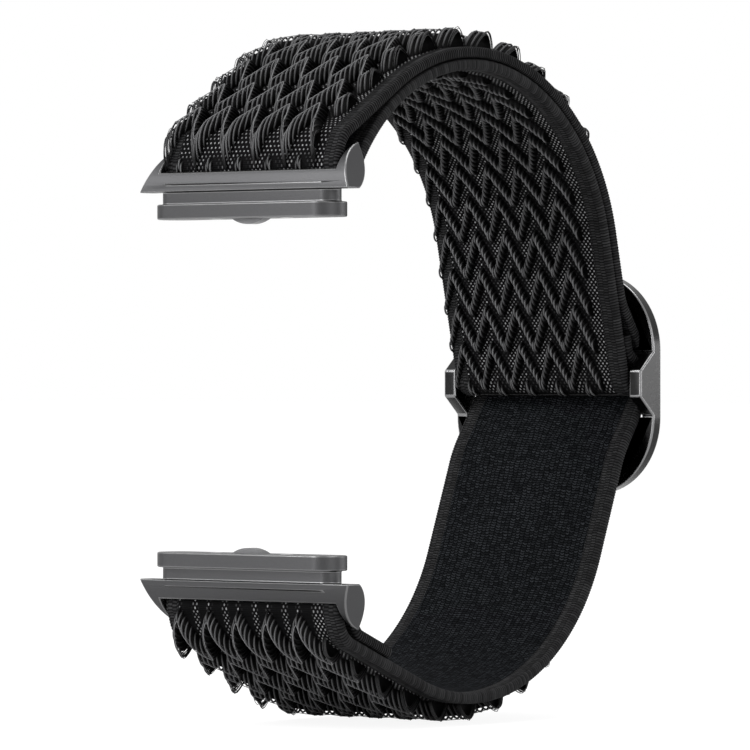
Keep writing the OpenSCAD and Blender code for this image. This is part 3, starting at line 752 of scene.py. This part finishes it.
# Sewing:
# The two ends of the band are turned over their bars and sewn flat to it.
# Rows of lock stitch in black polyester thread; they are hidden in the photograph.
thread = Finish("polyester_thread")
twist, around_it, tone = thread.mark("weave")
plies = ((twist * 30 + around_it) * (2 * math.pi * 3)).sine() * 0.5 + 0.5
THREAD = thread.surface(
    Base_Color=thread.mix(plies * (0.7 + tone * 0.3), (0.008, 0.008, 0.0085), (0.075, 0.075, 0.078)),
    Roughness=0.5 - plies * 0.1,
    Normal=thread.bump(plies, 0.00003),
)
STITCH_L, STITCH_PITCH, STITCH_SUNK = 1.7, 2.2, 0.12
STITCH_RINGS, THREAD_AROUND, THREAD_R = 13, 10, 0.15
STITCH_MARGIN = 1


def stitching(name, node, rows, body):
    """Rows of stitches across the band, at distances along it, as one piece."""
    count = int((WEB_W - 2 * STITCH_MARGIN) / STITCH_PITCH)
    t = np.linspace(-1, 1, STITCH_RINGS)
    out = HALF_T - STITCH_SUNK + (STITCH_SUNK + THREAD_R) * (1 - np.abs(t) ** 4)
    turned = np.tile(np.arange(THREAD_AROUND) / THREAD_AROUND, STITCH_RINGS)
    parts = []
    for s in rows:
        for i in range(count):
            x0 = (i - (count - 1) / 2) * STITCH_PITCH
            path = place(s + 0 * t, x0 + t * STITCH_L / 2, out)
            points, faces = thread_along(path, THREAD_R * MM, THREAD_AROUND)
            tone = np.full(len(points), draw.random())
            marks = np.stack([np.repeat(t, THREAD_AROUND) * 0.1, turned, tone], -1)
            ends = caps_of(STITCH_RINGS, THREAD_AROUND)
            parts.append((points, faces, np.zeros(len(faces)), marks, ends))
    made = piece_of(name, joined(parts), [THREAD])
    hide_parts(node)
    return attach(made, body)


stitching("bar_fold_stitches", "bar_fold_stitching", [0.6, 1.2], "slider")
stitching("bottom_fold_stitches", "bottom_fold_stitching",
          [web_len - 1, web_len - 2.5, web_len - 4], "strap")

# Slider buckle:
# A flat frame of die-cast zinc with rounded corners, a boss inside each side rail and a round
# bar between them. It is plated black with a satin sheen; its lightly broken edges carry a brighter
# metal as a painted highlight.
SHARP = math.radians(32)
FLAT = math.radians(0.6)
WELD = 1e-6
EDGE_STEPS = 3


def broken_edges(node, name, width, finishes):
    """A copy of a CAD piece whose sharp edges have a small round, with the last finish, a painted
    highlight, on it.
    """
    mesh = nodes[node].data.copy()
    bm = bmesh.new()
    bm.from_mesh(mesh)
    bmesh.ops.remove_doubles(bm, verts=bm.verts, dist=WELD)
    bmesh.ops.dissolve_limit(bm, angle_limit=FLAT, verts=bm.verts, edges=bm.edges)
    bm.to_mesh(mesh)
    bm.free()
    mesh.materials.clear()
    for finish in finishes:
        mesh.materials.append(finish)
    mesh.shade_smooth()
    mesh.set_sharp_from_angle(angle=SHARP)
    made = bpy.data.objects.new(name, mesh)
    bpy.context.collection.objects.link(made)
    bevel = made.modifiers.new("edges", "BEVEL")
    bevel.limit_method = "ANGLE"
    bevel.angle_limit = SHARP
    bevel.width = width
    bevel.segments = EDGE_STEPS
    bevel.material = len(finishes) - 1
    bevel.use_clamp_overlap = False
    bevel.harden_normals = True
    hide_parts(node)
    return made


def metal(name, dark, light, rough, grain, coat=0.0):
    """A plated, anodised or plain metal, with fine grain and faint clouding."""
    made = Finish(name)
    fine = made.noise(grain, 3.0)
    cloud = made.noise(60.0, 3.0)
    surface = made.surface(
        Base_Color=made.mix(fine * 0.5 + cloud * 0.5, dark, light),
        Roughness=fine * 0.1 + rough - cloud * 0.05,
        Metallic=1.0,
        Normal=made.bump(fine, 0.000012, 0.6),
    )
    made.feed(made.shader, {"Coat Weight": coat, "Coat Roughness": 0.12})
    return surface


BLACK_PLATE = metal("black_plated_zinc", (0.011, 0.011, 0.0113), (0.017, 0.017, 0.0173),
                    rough=0.26, grain=2600.0, coat=0.1)
# Painted highlight: a bright metal on the broken edges, for the highlight lines along them
PLATE_EDGE_HIGHLIGHT = metal("plate_edge_highlight", (0.16, 0.16, 0.163), (0.22, 0.22, 0.223),
                   rough=0.2, grain=2600.0)
slider = broken_edges("slider_frame", "slider_buckle", 0.2 * MM, (BLACK_PLATE, PLATE_EDGE_HIGHLIGHT))
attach(slider, "slider")

# Lugs:
# Each lug is one aluminium part: a slide rail that enters the case, and two ears that hold
# the spring bar. It is blasted and anodised dark grey; its edges are rounded by tumbling and carry a
# lighter metal as a painted highlight.
GREY_ANODISED = metal("grey_anodised_aluminium", (0.050, 0.050, 0.052), (0.072, 0.072, 0.074),
                      rough=0.42, grain=5200.0)
# Painted highlight: a lighter metal on the rounded edges
ANODISED_EDGE_HIGHLIGHT = metal("anodised_edge_highlight", (0.13, 0.13, 0.132), (0.17, 0.17, 0.172),
                      rough=0.3, grain=5200.0)
for end in ("top", "bottom"):
    lug = broken_edges(end + "_lug", end + "_lug_shell", 0.15 * MM, (GREY_ANODISED, ANODISED_EDGE_HIGHLIGHT))
    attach(lug, end + "_lug")

# Spring bars and catches:
# At each lug the webbing turns round a drawn steel tube with a sprung tip at both ends. A catch of
# pressed steel clicks the slide rail into the case, behind a cover with two tiny screws.
STEEL = metal("turned_steel", (0.42, 0.42, 0.43), (0.58, 0.58, 0.59), rough=0.25, grain=3000.0)
CATCH_STEEL = metal("blackened_steel", (0.11, 0.11, 0.113), (0.16, 0.16, 0.164),
                    rough=0.38, grain=3000.0)
for end in ("top", "bottom"):
    for part in ("bar_tube", "bar_spring", "bar_tip_left", "bar_tip_right", "catch", "catch_spring",
                 "cover_screws"):
        piece = nodes[f"{end}_{part}"]
        piece.data.materials.clear()
        piece.data.materials.append(CATCH_STEEL if part == "catch" else STEEL)
    cover = nodes[end + "_catch_cover"]
    cover.data.materials.clear()
    cover.data.materials.append(GREY_ANODISED)

# Studio:
# Pale floor, soft lamps and a camera that was fitted to the photograph.
FLOOR_Z = -36.2 * MM
FLOOR_HALF = 6
floor_mesh = bpy.data.meshes.new("floor")
corners = [(x * FLOOR_HALF, y * FLOOR_HALF, FLOOR_Z) for x, y in ((-1, -1), (1, -1), (1, 1), (-1, 1))]
floor_mesh.from_pydata(corners, [], [(0, 1, 2, 3)])
floor = bpy.data.objects.new("floor", floor_mesh)
bpy.context.collection.objects.link(floor)
paper = Finish("pale_floor")
paper.surface(Base_Color=(0.86, 0.86, 0.86, 1.0), Roughness=0.9)
seen = paper.node("LightPath", out="Is Camera Ray")
glow = paper.node("Emission", {}, {"Color": (1, 1, 1, 1), "Strength": 1.13})
lit = Wire(paper, paper.shader.outputs[0])
both = paper.node("MixShader", {}, {0: seen * 0.8, 1: lit, 2: glow})
paper.tree.links.new(both.socket, paper.tree.nodes["Material Output"].inputs["Surface"])
floor_mesh.materials.append(paper.material)

# The camera and reflections see the air as full white; on the strap it falls weaker
world = bpy.data.worlds.new("studio")
bpy.context.scene.world = world
world.use_nodes = True
air = world.node_tree
rays = air.nodes.new("ShaderNodeLightPath")
most = air.nodes.new("ShaderNodeMath")
most.operation = "MAXIMUM"
more = air.nodes.new("ShaderNodeMath")
more.operation = "MAXIMUM"
air.links.new(rays.outputs["Is Camera Ray"], most.inputs[0])
air.links.new(rays.outputs["Is Glossy Ray"], most.inputs[1])
air.links.new(most.outputs[0], more.inputs[0])
air.links.new(rays.outputs["Is Transmission Ray"], more.inputs[1])
level = air.nodes.new("ShaderNodeMapRange")
level.inputs["To Min"].default_value = 0.55
level.inputs["To Max"].default_value = 1.0
air.links.new(more.outputs[0], level.inputs["Value"])
sky = air.nodes["Background"]
sky.inputs["Color"].default_value = (1, 1, 1, 1)
air.links.new(level.outputs[0], sky.inputs["Strength"])

LOOP_MIDDLE = Vector((0, 0.026, 0))
# Each lamp's name, place and size in metres, and power in watts
for name, at, size, power in (
        ("key", (-0.45, -0.75, 0.65), 0.5, 9.0), ("fill", (0.9, -0.25, 0.25), 0.6, 2.2),
        ("top", (0.1, 0.25, 0.95), 0.5, 5.0), ("rim", (0.6, 0.74, -0.01), 0.3, 2.0),
        ("low", (-0.35, -0.85, 0.1), 0.35, 2.2)):
    lamp_data = bpy.data.lights.new(name, "AREA")
    lamp_data.shape = "SQUARE"
    lamp_data.size = size
    lamp_data.energy = power
    lamp = bpy.data.objects.new(name, lamp_data)
    lamp.location = at
    lamp.rotation_euler = (LOOP_MIDDLE - Vector(at)).to_track_quat("-Z", "Y").to_euler()
    bpy.context.collection.objects.link(lamp)

VIEW_AZIMUTH = math.radians(40)
VIEW_FROM = 0.65
VIEW_ASIDE, VIEW_UP = 0.01466, 0.001152
ahead = Vector((-math.sin(VIEW_AZIMUTH), math.cos(VIEW_AZIMUTH), 0))
aside = Vector((math.cos(VIEW_AZIMUTH), math.sin(VIEW_AZIMUTH), 0))
lens = bpy.data.cameras.new("camera")
lens.lens = 297.96
lens.sensor_width = 36.0
lens.clip_end = 20
camera = bpy.data.objects.new("camera", lens)
camera.location = aside * VIEW_ASIDE + Vector((0, 0, VIEW_UP)) - ahead * VIEW_FROM
camera.rotation_euler = ahead.to_track_quat("-Z", "Y").to_euler()
bpy.context.collection.objects.link(camera)
bpy.context.scene.camera = camera
bpy.context.scene.view_settings.view_transform = "Standard"
